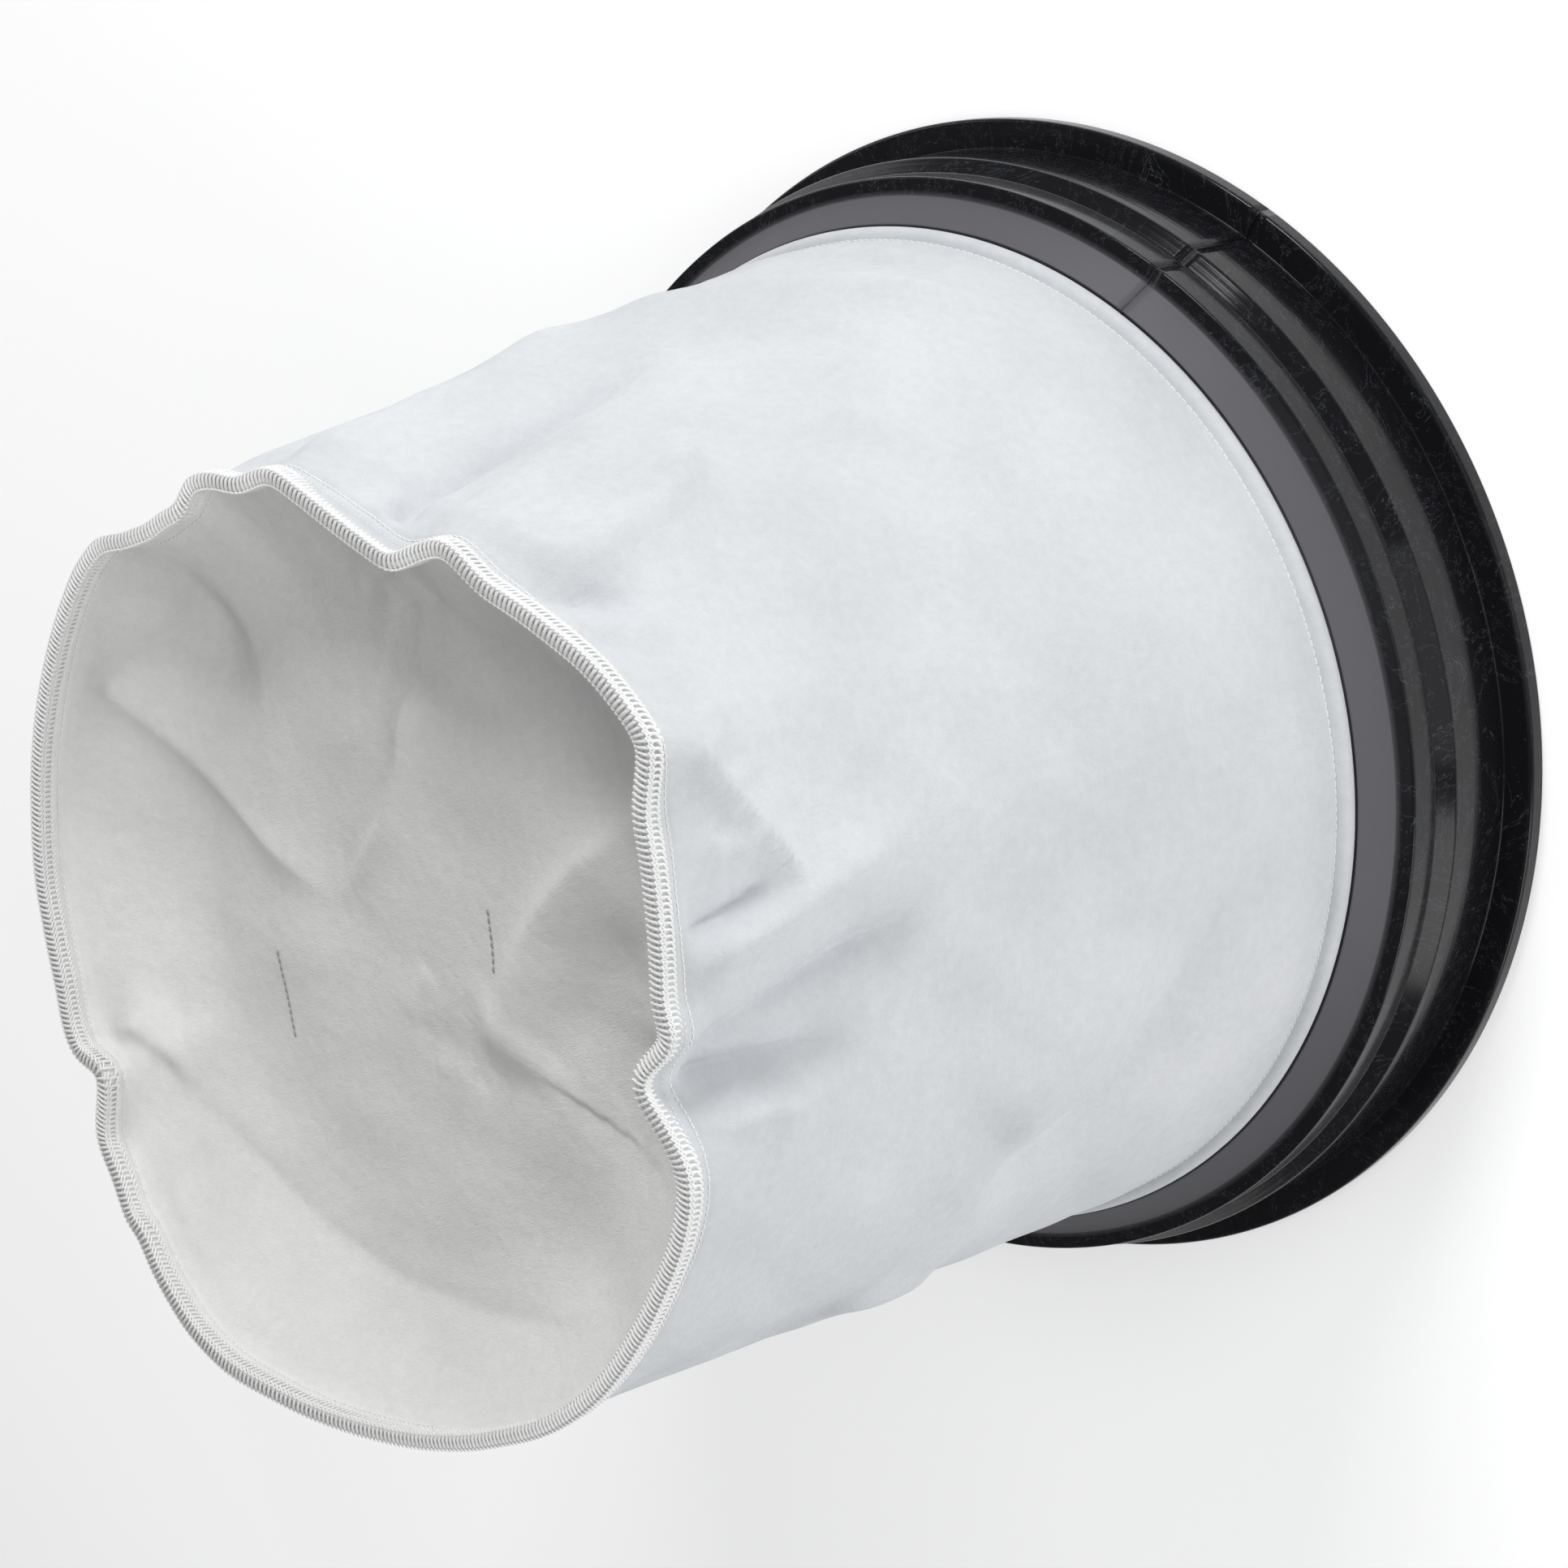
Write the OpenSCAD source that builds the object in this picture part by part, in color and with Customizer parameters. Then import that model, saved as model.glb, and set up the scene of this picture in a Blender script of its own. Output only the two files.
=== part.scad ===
// Filter bag for a drum-type dust collector: a tapered needle-felt sleeve with a sewn-in end panel,
// hung from a stepped rubber seal ring. The ring's outer flange lies on the drum's rim, its spigot
// drops inside the drum, and the collector's head sits on the ring's back face.
// Frame: +Z along the ring's axis towards the closed end of the bag. Z = 0 is the ring's back face.
// All sizes are in millimetres.

/* [Seal ring] */
// Outside diameter of the flange
flange_d = 440; // [360:1:540]
// Thickness of the flange
flange_t = 7.5; // [5:0.5:14]
// Radius on the flange's outer edge
flange_edge_r = 1.5; // [0.5:0.5:2.5]
// Radial width of the flange outside the spigot
seat_w = 11; // [6:0.5:20]
// Height of the spigot wall above the flange
spigot_h = 31.5; // [20:0.5:60]
// Radial step from the spigot down to the nose, and its height
step_w = 5; // [2.5:0.5:7]
// Height of the nose wall beyond the step
nose_h = 12.5; // [8:0.5:25]
// Radius on the nose's leading edge
nose_edge_r = 1; // [0.5:0.5:2]
// Radial width of the nearly flat end face of the nose
nose_face_w = 6.5; // [3:0.5:12]
// Height of the cone between the end face and the bag's hem
cone_h = 9.5; // [5:0.5:16]
// Wall thickness of the ring's section
ring_wall = 4.5; // [3:0.5:7]
// Height of the sewing lip above its shelf
lip_h = 20; // [14:1:40]
// Thickness of the sewing lip
lip_t = 3; // [2:0.5:5]
// Angle of the bonded splice round the ring
splice_a = 307; // [0:1:359]
// Thickness of the bond line in the splice
splice_t = 0.6; // [0.3:0.1:1.5]

/* [Filter sleeve] */
// Outside diameter of the sleeve where it leaves the ring
mouth_d = 366.4; // [330:0.2:440]
// Outside diameter of the sleeve at its closed end
end_d = 316; // [240:1:380]
// Length of the bag from the ring's shelf to the sewn rim
bag_len = 282; // [180:1:600]
// Thickness of the needle felt
cloth_t = 1.9; // [1.2:0.1:3]
// Height of the seam allowance that stands up round the closed end
fin_h = 9; // [7:0.5:16]
// Angle of the lapped seam along the sleeve
side_seam_a = 62; // [0:1:359]
// Width of the lap
lap_w = 14; // [10:0.5:24]
// Distance from each edge of the lap to its row of stitching
lap_row_inset = 3; // [2:0.5:4.5]

/* [Hem] */
// Diameter of the cord rolled into the hem
cord_d = 3; // [2:0.5:6]
// How far the corded hem stands out from the sleeve
bead_proud = 4.4; // [3:0.1:6]
// Height of the cloth turned back up inside the sleeve
turn_h = 12; // [8:1:18]
// Clearance between the cloth and the ring
fit_gap = 0.3; // [0.1:0.1:1]

/* [End panel] */
// Depth of the dished panel below its seam
panel_sag = 26; // [8:1:60]
// Radius of the panel's flat middle
panel_flat_r = 100; // [60:1:130]
// Width of the pull strap behind the panel
strap_w = 32; // [20:1:45]
// Thickness of the strap's webbing
strap_t = 1.6; // [1:0.1:3]
// Distance between the strap's two tacked ends
strap_span = 114; // [70:1:150]
// How far the strap hangs clear of the panel between its ends
strap_drop = 16; // [8:1:40]
// Length of webbing laid flat at each end of the strap
strap_tab = 12; // [8:1:20]
// Sideways offset of the strap from the axis
strap_x = -14; // [-30:1:30]
// Lengthways offset of the strap from the axis
strap_y = 31; // [-35:1:35]
// Length of the longer row of tacking
tack_long = 30; // [15:1:32]
// Length of the shorter row of tacking
tack_short = 21; // [12:1:32]

/* [Thread] */
// Thickness of the sewing thread as it lies on the cloth
thread_t = 0.5; // [0.3:0.1:1]
// Width of a row of stitching
row_w = 0.8; // [0.5:0.1:1.5]
// Depth of the overlocked border along the rim
overlock_h = 5; // [3:0.5:7]
// Clearance between thread and cloth
thread_gap = 0.05; // [0:0.01:0.2]

/* [Hidden] */
$fn = 180;

// Ring radii, from the flange inwards
flange_r = flange_d / 2;
spigot_r = flange_r - seat_w;
nose_r = spigot_r - step_w;
face_r = nose_r - nose_face_w;
mouth_r = mouth_d / 2;
hem_seat_r = mouth_r + bead_proud + fit_gap;
lip_r = mouth_r - 2 * cloth_t - fit_gap;

// Ring heights, from the back face up
spigot_z = flange_t + spigot_h;
nose_z = spigot_z + step_w;
face_z = nose_z + nose_h;
face_rise = 1;
cone_z = face_z + face_rise;
hem_seat_z = cone_z + cone_h;
hem_seat_drop = 2.2;
shelf_z = hem_seat_z - hem_seat_drop;
step_round = 1.4;

// Bag heights and radii
rim_z = shelf_z + bag_len;
seam_z = rim_z - fin_h;
end_r = end_d / 2;
collar_z = shelf_z + lip_h + 3;
bead_r = cord_d / 2 + cloth_t;
bead_c_r = mouth_r + bead_proud - bead_r;
bead_c_z = shelf_z + bead_r;
panel_r = end_r - cloth_t;
panel_z = seam_z - panel_sag;
lap_top_z = seam_z - 2 * cloth_t - 2;

// Points on an arc about [cr, cz], from angle a0 to a1
function arc(cr, cz, r, a0, a1, n = 6) =
    [for (i = [0 : n]) let (a = a0 + (a1 - a0) * i / n) [cr + r * cos(a), cz + r * sin(a)]];

// Sleeve's outside radius at a height: a short cylinder at the ring, a cone, and the upright rim
function sleeve_r(z) =
    z <= collar_z ? mouth_r
    : z >= seam_z ? end_r
    : mouth_r + (end_r - mouth_r) * (z - collar_z) / (seam_z - collar_z);

// Panel's upper face at a radius: flat in the middle, then rising to the seam in a smooth curve
function panel_top(r) =
    let (s = max(0, (r - panel_flat_r) / (panel_r - cloth_t - panel_flat_r)))
    panel_z + panel_sag * (1 - cos(90 * min(1, s)));

// One closed section of the ring, as wide as its stepped wall, from the back face to the sewing lip
module ring_section() {
    polygon(concat(
        [[spigot_r - ring_wall, 0], [flange_r - 1, 0], [flange_r, 1]],
        arc(flange_r - flange_edge_r, flange_t - flange_edge_r, flange_edge_r, 0, 90),
        [[spigot_r, flange_t]],
        arc(spigot_r - step_round, spigot_z - step_round, step_round, 0, 60, 4),
        [[nose_r + step_round * 0.3, nose_z - step_round * 0.6], [nose_r, nose_z]],
        arc(nose_r - nose_edge_r, face_z - nose_edge_r, nose_edge_r, 0, 80, 4),
        [[face_r, cone_z], [hem_seat_r, hem_seat_z], [hem_seat_r, shelf_z], [lip_r, shelf_z]],
        [[lip_r, shelf_z + lip_h], [lip_r - lip_t, shelf_z + lip_h]],
        [[lip_r - lip_t, shelf_z - ring_wall], [hem_seat_r, shelf_z - ring_wall]],
        [[face_r - 1, cone_z - ring_wall], [nose_r - ring_wall, face_z - ring_wall]],
        [[nose_r - ring_wall, spigot_z], [spigot_r - ring_wall, spigot_z - ring_wall]]
    ));
}

// A thin radial slab that reaches across the whole ring section at the splice
module splice_slab() {
    rotate([0, 0, splice_a])
        translate([lip_r - lip_t - 10, -splice_t / 2, -1])
            cube([flange_r - lip_r + lip_t + 20, splice_t, shelf_z + lip_h + 2]);
}

module seal_ring() {
    color("#2b2b2e")
        difference() {
            rotate_extrude() ring_section();
            splice_slab();
        }
}

// Cured adhesive between the two butted ends of the ring's extrusion
module splice_bond() {
    color("#1b1b1c")
        intersection() {
            rotate_extrude() ring_section();
            splice_slab();
        }
}

// Wall of the sleeve, with the hem turned round its cord and back up inside
module sleeve_section() {
    difference() {
        union() {
            polygon([
                [mouth_r, bead_c_z], [mouth_r, collar_z], [end_r, seam_z], [end_r, rim_z],
                [end_r - cloth_t, rim_z], [end_r - cloth_t, seam_z], [mouth_r - cloth_t, collar_z],
                [mouth_r - cloth_t, shelf_z + turn_h], [mouth_r - 2 * cloth_t, shelf_z + turn_h],
                [mouth_r - 2 * cloth_t, shelf_z + bead_r], [bead_c_r, shelf_z], [bead_c_r, bead_c_z]
            ]);
            translate([bead_c_r, bead_c_z]) circle(r = bead_r, $fn = 48);
        }
        translate([bead_c_r, bead_c_z]) circle(d = cord_d, $fn = 48);
    }
}

// Half-angle that a width spans on the sleeve where it leaves the ring
function span_a(w) = asin(w / 2 / mouth_r);

// Second layer of felt where the two ends of the sheet lap, inside the sleeve; it starts halfway into the wall
module lap_layer() {
    lap_low = collar_z + 4;
    lap_high = lap_top_z;
    rotate([0, 0, side_seam_a - span_a(lap_w)])
        rotate_extrude(angle = 2 * span_a(lap_w))
            polygon([
                [sleeve_r(lap_low) - cloth_t / 2, lap_low], [sleeve_r(lap_high) - cloth_t / 2, lap_high],
                [sleeve_r(lap_high) - 2 * cloth_t, lap_high], [sleeve_r(lap_low) - 2 * cloth_t, lap_low]
            ]);
}

module filter_sleeve() {
    color("#f2f3f2")
        union() {
            rotate_extrude() sleeve_section();
            lap_layer();
        }
}

// One row of the lapped seam: a thread outside the sleeve and one inside the lap
module side_seam_row(a) {
    row_low = collar_z + 6;
    row_high = lap_top_z - 1;
    for (depth = [thread_gap, -2 * cloth_t - thread_gap - thread_t])
        rotate([0, 0, side_seam_a + a])
            rotate_extrude(angle = span_a(row_w))
                polygon([
                    [sleeve_r(row_low) + depth, row_low], [sleeve_r(row_low) + depth + thread_t, row_low],
                    [sleeve_r(row_high) + depth + thread_t, row_high], [sleeve_r(row_high) + depth, row_high]
                ]);
}

module side_seam_stitch_left() {
    color("#ffffff") side_seam_row(span_a(lap_w) - 2 * span_a(lap_row_inset));
}

module side_seam_stitch_right() {
    color("#ffffff") side_seam_row(2 * span_a(lap_row_inset) - span_a(lap_w));
}

module hem_cord() {
    color("#e9e6dc")
        rotate_extrude()
            translate([bead_c_r, bead_c_z]) circle(d = cord_d - 2 * thread_gap, $fn = 48);
}

// A ring of thread with a rectangular section
module thread_ring(r, z, w = row_w, t = thread_t) {
    translate([0, 0, z])
        rotate_extrude() translate([r, 0]) square([t, w]);
}

// The row that holds the hem on the sewing lip: one thread in the crease above the hem, one on the lip
module collar_stitch() {
    crease_z = bead_c_z + bead_r;
    color("#ffffff") {
        thread_ring(mouth_r + thread_gap, crease_z);
        thread_ring(lip_r - lip_t - thread_gap - thread_t, crease_z);
    }
}

// Skirt sewn inside the sleeve's rim, with the dished disc below it
module panel_section() {
    steps = 14;
    inner_r = panel_r - cloth_t;
    rise = [for (i = [0 : steps]) panel_flat_r + (inner_r - panel_flat_r) * i / steps];
    polygon(concat(
        [[0, panel_z - cloth_t], [panel_flat_r, panel_z - cloth_t]],
        [for (i = [1 : steps - 1]) [rise[i] + cloth_t * 0.45, panel_top(rise[i]) - cloth_t * 0.9]],
        [[panel_r - thread_gap, seam_z - cloth_t], [panel_r - thread_gap, rim_z]],
        [[inner_r, rim_z]],
        [for (i = [steps : -1 : 1]) [rise[i], panel_top(rise[i])]],
        [[panel_flat_r, panel_z], [0, panel_z]]
    ));
}

module bottom_panel() {
    color("#dcdad6") rotate_extrude() panel_section();
}

// Looper threads wrapped over both raw edges at the rim
module rim_overlock() {
    outer_r = end_r + thread_gap;
    inner_r = panel_r - cloth_t - thread_gap;
    top = rim_z + thread_gap;
    low = rim_z - overlock_h;
    color("#ffffff")
        rotate_extrude()
            polygon([
                [outer_r, low], [outer_r + thread_t, low], [outer_r + thread_t, top + thread_t],
                [inner_r - thread_t, top + thread_t], [inner_r - thread_t, low], [inner_r, low],
                [inner_r, top], [outer_r, top]
            ]);
}

// A two-thread row through both layers of the rim: one thread outside, one inside
module rim_row(z) {
    thread_ring(end_r + thread_gap, z);
    thread_ring(panel_r - cloth_t - thread_gap - thread_t, z);
}

// Needle thread at the foot of the overlocked border
module rim_needle_stitch() {
    color("#ffffff") rim_row(rim_z - overlock_h - row_w - 0.3);
}

// Lockstitch that closes the bag, at the foot of the seam allowance
module rim_lockstitch() {
    color("#ffffff") rim_row(seam_z + 0.4);
}

// Webbing loop behind the panel: a flat tab at each end and a slack bow between them
module pull_strap() {
    steps = 16;
    half = strap_span / 2;
    top = panel_z - cloth_t;
    function bow(y) = strap_drop * pow(cos(90 * y / (half - strap_tab / 2)), 2);
    free = half - strap_tab / 2;
    ys = [for (i = [0 : steps]) -free + 2 * free * i / steps];
    color("#e4e2dc")
        translate([strap_x + strap_w / 2, strap_y, 0])
            rotate([90, 0, -90])
                linear_extrude(strap_w)
                    polygon(concat(
                        [[-half - strap_tab / 2, top]],
                        [for (y = ys) [y, top - bow(y)]],
                        [[half + strap_tab / 2, top], [half + strap_tab / 2, top - strap_t]],
                        [for (i = [steps : -1 : 0]) [ys[i], top - strap_t - bow(ys[i])]],
                        [[-half - strap_tab / 2, top - strap_t]]
                    ));
}

// Tacking across one end of the strap: a bar of thread on the panel and one under the webbing
module strap_tack(y, len, a) {
    for (z = [panel_z + thread_gap, panel_z - cloth_t - strap_t - thread_gap - thread_t])
        translate([strap_x, strap_y + y, z])
            rotate([0, 0, a])
                translate([-len / 2, -row_w / 2, 0]) cube([len, row_w, thread_t]);
}

module strap_tack_left() {
    color("#ffffff") strap_tack(strap_span / 2, tack_long, -8);
}

module strap_tack_right() {
    color("#ffffff") strap_tack(-strap_span / 2, tack_short, -8);
}

seal_ring();
splice_bond();
filter_sleeve();
side_seam_stitch_left();
side_seam_stitch_right();
hem_cord();
collar_stitch();
bottom_panel();
rim_overlock();
rim_needle_stitch();
rim_lockstitch();
pull_strap();
strap_tack_left();
strap_tack_right();
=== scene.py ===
"""Looks of a drum dust collector's filter bag: a needle-felt bag sewn to a stepped rubber seal ring.

Everything is in metres, in the part's own frame: the ring's back face is at Z = 0 and the bag's closed end
is up.
"""

import math

import bmesh
import bpy
import numpy as np
from bpy.props import FloatProperty, FloatVectorProperty, IntProperty, PointerProperty
from mathutils import Matrix, Vector


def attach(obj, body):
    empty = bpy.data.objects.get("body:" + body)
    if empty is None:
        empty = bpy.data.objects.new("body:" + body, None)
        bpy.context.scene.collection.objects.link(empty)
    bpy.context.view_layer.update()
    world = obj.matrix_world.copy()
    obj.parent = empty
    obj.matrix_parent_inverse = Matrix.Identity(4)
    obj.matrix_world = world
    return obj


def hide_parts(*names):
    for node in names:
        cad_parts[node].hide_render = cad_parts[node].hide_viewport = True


bl_info = {
    "name": "Drum Filter Bag",
    "version": (1, 0, 0),
    "blender": (4, 5, 0),
    "location": "3D View > Sidebar > Filter Bag",
    "description": "Builds the felt, thread and rubber of a drum dust collector's filter bag",
    "category": "Add Mesh",
}

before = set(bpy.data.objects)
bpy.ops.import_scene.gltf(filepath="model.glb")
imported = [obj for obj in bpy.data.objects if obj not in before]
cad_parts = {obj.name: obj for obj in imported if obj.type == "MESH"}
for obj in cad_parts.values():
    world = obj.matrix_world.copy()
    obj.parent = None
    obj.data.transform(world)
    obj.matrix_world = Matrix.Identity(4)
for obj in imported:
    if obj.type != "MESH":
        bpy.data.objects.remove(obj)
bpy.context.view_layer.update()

MM = 0.001
BODY = "root"
# Steps round the ring, and round the felt
RING_STEPS = 360
FELT_STEPS = 460

# In mm from here on. The sewing lip of the ring: its faces' radii and its height above the shelf
LIP_OUT, LIP_IN, LIP_HEIGHT = 179.1, 176.1, 20
# Radius at which the sleeve's folds are laid out, so that an angle becomes a length of cloth
CLOTH_RADIUS = 170.0
# Radius of the end panel's upper face at its seam
PANEL_RADIUS = 155.0
# Angles in degrees of the lap's outer cut edge and of its two rows of stitching
LAP_EDGE = 59.6
LAP_ROWS = (
    ("lap_row_left", "side_seam_stitch_left", 63.25),
    ("lap_row_right", "side_seam_stitch_right", 60.7),
)
# Heights of the ends of those rows, and of the row round the collar
LAP_ROW_FOOT, LAP_ROW_TOP, COLLAR_ROW = 94, 331, 72.3
# How far down the sleeve the rim's rise and its narrow waves reach, and how far in across the end panel the
# rim's waves and its rise die away
RISE_REACH, WAVE_REACH, WAVE_SETTLE, RISE_SETTLE = 70, 52, 42.0, 60
# Height of the closing lockstitch above the seam, and the gap between the felts of the sleeve and the panel
CLOSING_ROW, PANEL_GAP = 0.8, 0.05

# The hem in section, as radius and height: where its cord lies, the radii of the cord and of the felt's turn
# round it, then the felt's outline down to the turn, from there up and down the lip, and back above the cord
CORD_AT, CORD_RADIUS, TURN_RADIUS = (184.2, 68.2), 1.5, 3.4
HEM_DOWN = ((183.22, 72.0), (183.30, 71.6))
HEM_LIP = (
    (180.3, 66.6), (179.55, 68.0), (179.4, 70.0), (179.4, 76.4), (179.7, 76.8), (180.9, 76.8), (181.22, 76.4),
    (181.22, 69.6), (181.6, 68.4), (182.3, 67.7),
)
HEM_BACK = ((182.3, 69.8), (181.6, 70.6), (181.32, 71.5))

# The rim of the bag, as it hangs: angle in degrees, then in mm how far it stands out, how far it stands up
# and how far its border leans out
RIM_WAVES = (
    (0, -8, 0, 4), (5, -9, 0, 4), (10, -5, 0, 3), (15, 3, 0, 1), (21, 4, 0, 0), (28, 2, 0, 0),
    (36, 0, 0, 0), (42, -1, 0, 0), (57, -3, 0, 0), (66, -3, 0, 0), (72, -4, 0, 0), (80, -4, 0, 0),
    (86, -1, 0, 0), (90, -2, 0, 0), (92.5, -14, 0, 0), (96, -7, 0, 0), (100, 4, 0, 0), (106, 5, 1, 0),
    (111, 9, 2, 0), (113, 6, 3, 0), (118, 9, 4, 0), (126, 10, 7, 0), (134, 8, 9, 0), (141, 5, 7, 0),
    (148, 4, 4, 0), (158, 2, 1, 0), (170, 0, 0, 0), (181, -1, 0, 0), (190, 0, 0, 0), (201, 0, 0, 0),
    (211, -1, 0, 0), (220, -1, 0, 0), (227, 1, 0, -1), (232, 1, 0, -1), (236, -1, 0, -1),
    (240, -9, 0, -4), (243, -17, 0, -5), (246, -16, 0, -4), (250, -4, 0, -4), (255, -9, 0, -1),
    (260, -7, 0, 0), (266, -3, 0, 0), (271, 2, 0, -1), (275, 5, 0, -1), (278, 12, 0, 0),
    (280, 17, 0, 2), (285, 14, 0, 3), (290, 11, 0, 3), (295, 7, 0, 2), (300, 4, 0, 1), (305, 1, 0, 0),
    (312, 3, 0, 0), (319, -10, 0, -4), (325, -7, 0, -5), (330, -4, 0, -5), (335, -1, 0, -3),
    (340, 3, 0, -1), (346, -2, 0, 0), (351, 1, 0, 1), (355, 1, 0, 1), (357.5, -7, 0, 2),
)

# Folds of the sleeve, in mm: height, how far each runs out on its left and on its right, and how round its
# crest is, then the line that it follows, as angle in degrees and height above the ring's back face
SLEEVE_FOLDS = (
    (6.5, 11, 11, 5.0, ((340, 350), (341, 300), (344, 250), (349, 205), (352, 160))),
    (-9.0, 9, 6, 1.5, ((322, 352), (326, 320), (327, 290), (329, 262), (332, 225), (335, 195))),
    (5.0, 9, 9, 3.0, ((316, 355), (318, 310), (321, 270), (325, 230))),
    (12.0, 22, 8, 2.0, ((303, 352), (302, 325), (303, 305), (306, 275), (310, 258), (317, 240))),
    (-6.0, 5, 6, 1.5, ((301, 352), (297, 322), (292, 314))),
    (5.0, 6, 6, 3.0, ((295, 345), (293, 325), (291, 305))),
    (7.0, 9, 4.5, 1.5, ((281, 335), (270, 311), (265, 303), (261, 296))),
    (-8.0, 5, 5, 1.5, ((262, 340), (263, 316), (266, 303))),
    (3.0, 3.5, 3.5, 1.5, ((270, 326), (267, 312))),
    (11.0, 10, 8, 3.0, ((256, 352), (258, 335), (260, 310), (262, 285), (264, 250))),
    (-12.0, 7, 11, 2.0, ((247, 356), (249, 325), (251, 305), (253, 280), (255, 240))),
    (-7.5, 4.5, 6, 1.5, ((243.5, 352), (244, 330), (244.5, 312), (244, 292), (243, 275))),
    (8.5, 7, 7, 3.0, ((239, 350), (240, 322), (238, 290))),
    (6.0, 12, 10, 4.0, ((350, 190), (340, 160), (331, 142), (326, 130), (320, 120), (315, 110), (308, 99))),
    (-4.0, 5, 5, 1.5, ((346, 97), (335, 95), (322, 96))),
    (-7.0, 14, 14, 4.0, ((211, 210), (220, 170), (228, 150), (236, 138), (246, 126))),
    (5.0, 12, 12, 5.0, ((222, 215), (232, 180), (243, 160))),
    (3.5, 10, 10, 4.0, ((196, 240), (195, 215), (196, 190))),
    (2.6, 3, 3, 1.5, ((324, 345), (330, 318))),
    (-2.6, 3, 3, 1.5, ((327, 345), (334, 322))),
    (-2.6, 3, 3, 1.5, ((321, 345), (324, 322))),
    (3.5, 20, 20, 10.0, ((352, 350), (354, 240), (356, 140))),
    (-3.5, 20, 20, 10.0, ((193, 345), (192, 280), (192, 215))),
)

# Patches of small creases: where the middle lies, given like a fold's points, and how far each reaches in mm
SLEEVE_CRUMPLES = ((273, 316, 34, 20), (331, 322, 26, 18), (240, 318, 16, 20), (338, 104, 40, 10))
PANEL_CRUMPLES = ((-62, 168, 34, 18), (60, 152, 34, 16), (96, -42, 14, 12))

# Creases of the end panel, in the same way, but each line is across and along the panel in mm
PANEL_FOLDS = (
    (-6.0, 9, 16, 1.5, ((108, -38), (100, -47), (78, -60), (62, -86), (45, -107), (26, -124), (14, -134))),
    (-1.6, 3, 3, 1.5, ((104, -26), (94, -38), (86, -44))),
    (-8.0, 16, 16, 8.0, ((141, 88), (118, 58), (110, 34))),
    (6.0, 34, 9, 2.2, ((122, 108), (113, 102), (81, 90), (59, 78), (35, 63), (8, 43))),
    (4.0, 12, 4, 1.5, ((70, -30), (57, -18), (45, -10), (30, 7), (21, 25), (14, 38), (6, 48))),
    (9.0, 9, 24, 2.5, ((-58, -4), (-46, -13), (-33, -29), (-22, -42), (-12, -58), (-3, -80), (3, -106),
                       (8, -120))),
    (-4.0, 16, 16, 8.0, ((-62, -22), (-48, -48), (-36, -75), (-28, -105))),
    (0.8, 4.5, 4.5, 2.0, ((-18, 12), (-24, 22), (-32, 31))),
    (-0.8, 4.5, 4.5, 2.0, ((-33, 28), (-40, 20), (-44, 8))),
    (0.7, 4.5, 4.5, 2.0, ((-48, 26), (-52, 16), (-53, 8))),
    (-0.8, 4.5, 4.5, 2.0, ((-54, 8), (-62, 0))),
    (-2.4, 5, 14, 1.0, ((-22, 158), (-40, 143), (-57, 132), (-77, 118), (-92, 104), (-108, 84), (-117, 68),
                        (-124, 51), (-131, 34), (-136, 14), (-142, -14), (-145, -40))),
    (8.0, 8, 8, 3.0, ((-6, 178), (-4, 140))),
    (-7.0, 8, 8, 3.0, ((-24, 172), (-18, 144))),
    (5.0, 7, 6, 2.0, ((-74, 184), (-72, 150))),
    (-3.0, 5, 5, 2.0, ((-88, 178), (-84, 150))),
)


def linear(code):
    """The linear colour of an sRGB hex value such as '#f2f3f2'."""
    parts = [int(code[i : i + 2], 16) / 255 for i in (1, 3, 5)]
    return tuple(c / 12.92 if c <= 0.04045 else ((c + 0.055) / 1.055) ** 2.4 for c in parts)


def length(name, description, default):
    """A size that the sidebar shows in length units."""
    return FloatProperty(name=name, description=description, default=default, min=0, precision=4, unit="LENGTH")


def colour(name, description, code):
    """A colour swatch for the sidebar."""
    look = {"size": 3, "min": 0, "max": 1, "subtype": "COLOR"}
    return FloatVectorProperty(name=name, description=description, default=linear(code), **look)


def turn_angle(name, description, degrees):
    """An angle that the sidebar shows in degrees."""
    return FloatProperty(name=name, description=description, default=math.radians(degrees), subtype="ANGLE")


def offset(name, description, default):
    """A length that may be negative."""
    return FloatProperty(name=name, description=description, default=default, unit="LENGTH")


class SealRingSizes(bpy.types.PropertyGroup):
    """Sizes of the rubber ring."""

    flange_radius: length("Flange radius", "Outside radius of the flange", 0.220)
    flange_thickness: length("Flange thickness", "Height of the flange's upper face", 0.0075)
    spigot_radius: length("Spigot radius", "Outside radius of the spigot wall", 0.209)
    spigot_top: length("Spigot top", "Height of the spigot's shoulder", 0.039)
    nose_radius: length("Nose radius", "Outside radius of the nose wall", 0.204)
    nose_foot: length("Nose foot", "Height at which the nose wall starts", 0.044)
    nose_top: length("Nose top", "Height of the nose's leading edge", 0.0565)
    face_radius: length("Face radius", "Inner radius of the nose's end face", 0.1975)
    hem_radius: length("Hem radius", "Radius of the lip that the bag's hem sits in", 0.1879)
    hem_seat: length("Hem seat", "Height of the cone's upper edge", 0.067)
    shelf: length("Shelf", "Height of the shelf under the hem", 0.0648)
    wall: length("Wall", "Thickness of the ring's section", 0.0045)
    splice_angle: turn_angle("Splice angle", "Where the two ends of the extrusion are bonded", 307)
    splice_gap: length("Splice gap", "Width of the bond line", 0.0006)


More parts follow.
